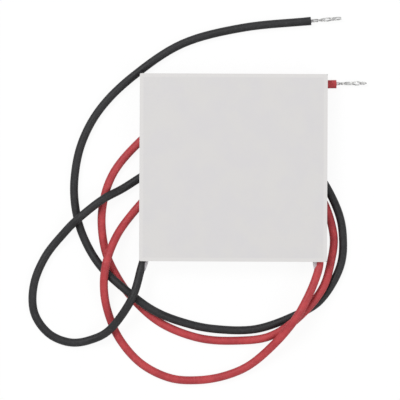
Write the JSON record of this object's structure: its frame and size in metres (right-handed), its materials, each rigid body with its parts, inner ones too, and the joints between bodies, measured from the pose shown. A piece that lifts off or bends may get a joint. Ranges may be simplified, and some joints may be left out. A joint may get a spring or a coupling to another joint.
{
  "type": "thermoelectric cooling module",
  "caption": "Square thermoelectric cooling module: two ceramic plates with pellets between them, an edge seal and two insulated leads with tinned ends.",
  "frame": {"origin": "centre of the cold face, the bare face of the upper ceramic plate", "axes": "+Z out of the cold face; the leads leave at the -Y edge, the black one near -X and the red one near +X"},
  "size_m": [0.0722, 0.079, 0.0058],
  "materials": {
    "alumina": "off-white sintered alumina, matt, with fine grain and snapped edges",
    "silicone": "translucent white silicone sealant, uneven, slightly glossy",
    "copper": "bare copper tabs, slightly dulled",
    "bismuth_telluride": "dark grey sawn semiconductor, faint metallic lustre",
    "solder": "bright lead-free solder, lumpy",
    "tinned_copper": "twisted copper strands dipped in tin",
    "black_insulation": "black soft vinyl, satin",
    "red_insulation": "red soft vinyl, satin"
  },
  "bodies": {
    "root": {"cold_plate": "alumina", "hot_plate": "alumina", "cold_plate_tabs": "copper", "hot_plate_tabs": "copper", "black_terminal_pad": "copper", "red_terminal_pad": "copper", "edge_seal": "silicone", "black_exit_seal": "silicone", "red_exit_seal": "silicone", "black_lead": "black_insulation", "red_lead": "red_insulation", "black_soldered_end": "tinned_copper", "red_soldered_end": "tinned_copper", "black_solder_joint": "solder", "red_solder_joint": "solder", "black_tinned_tip": "tinned_copper", "red_tinned_tip": "tinned_copper", "n_pellets_column_01": "bismuth_telluride", "n_pellets_column_02": "bismuth_telluride", "n_pellets_column_03": "bismuth_telluride", "n_pellets_column_04": "bismuth_telluride", "n_pellets_column_05": "bismuth_telluride", "n_pellets_column_06": "bismuth_telluride", "n_pellets_column_07": "bismuth_telluride", "n_pellets_column_08": "bismuth_telluride", "n_pellets_column_09": "bismuth_telluride", "n_pellets_column_10": "bismuth_telluride", "n_pellets_column_11": "bismuth_telluride", "n_pellets_column_12": "bismuth_telluride", "n_pellets_column_13": "bismuth_telluride", "n_pellets_column_14": "bismuth_telluride", "n_pellets_column_15": "bismuth_telluride", "n_pellets_column_16": "bismuth_telluride", "p_pellets_column_01": "bismuth_telluride", "p_pellets_column_02": "bismuth_telluride", "p_pellets_column_03": "bismuth_telluride", "p_pellets_column_04": "bismuth_telluride", "p_pellets_column_05": "bismuth_telluride", "p_pellets_column_06": "bismuth_telluride", "p_pellets_column_07": "bismuth_telluride", "p_pellets_column_08": "bismuth_telluride", "p_pellets_column_09": "bismuth_telluride", "p_pellets_column_10": "bismuth_telluride", "p_pellets_column_11": "bismuth_telluride", "p_pellets_column_12": "bismuth_telluride", "p_pellets_column_13": "bismuth_telluride", "p_pellets_column_14": "bismuth_telluride", "p_pellets_column_15": "bismuth_telluride", "p_pellets_column_16": "bismuth_telluride"}
  },
  "joints": []
}
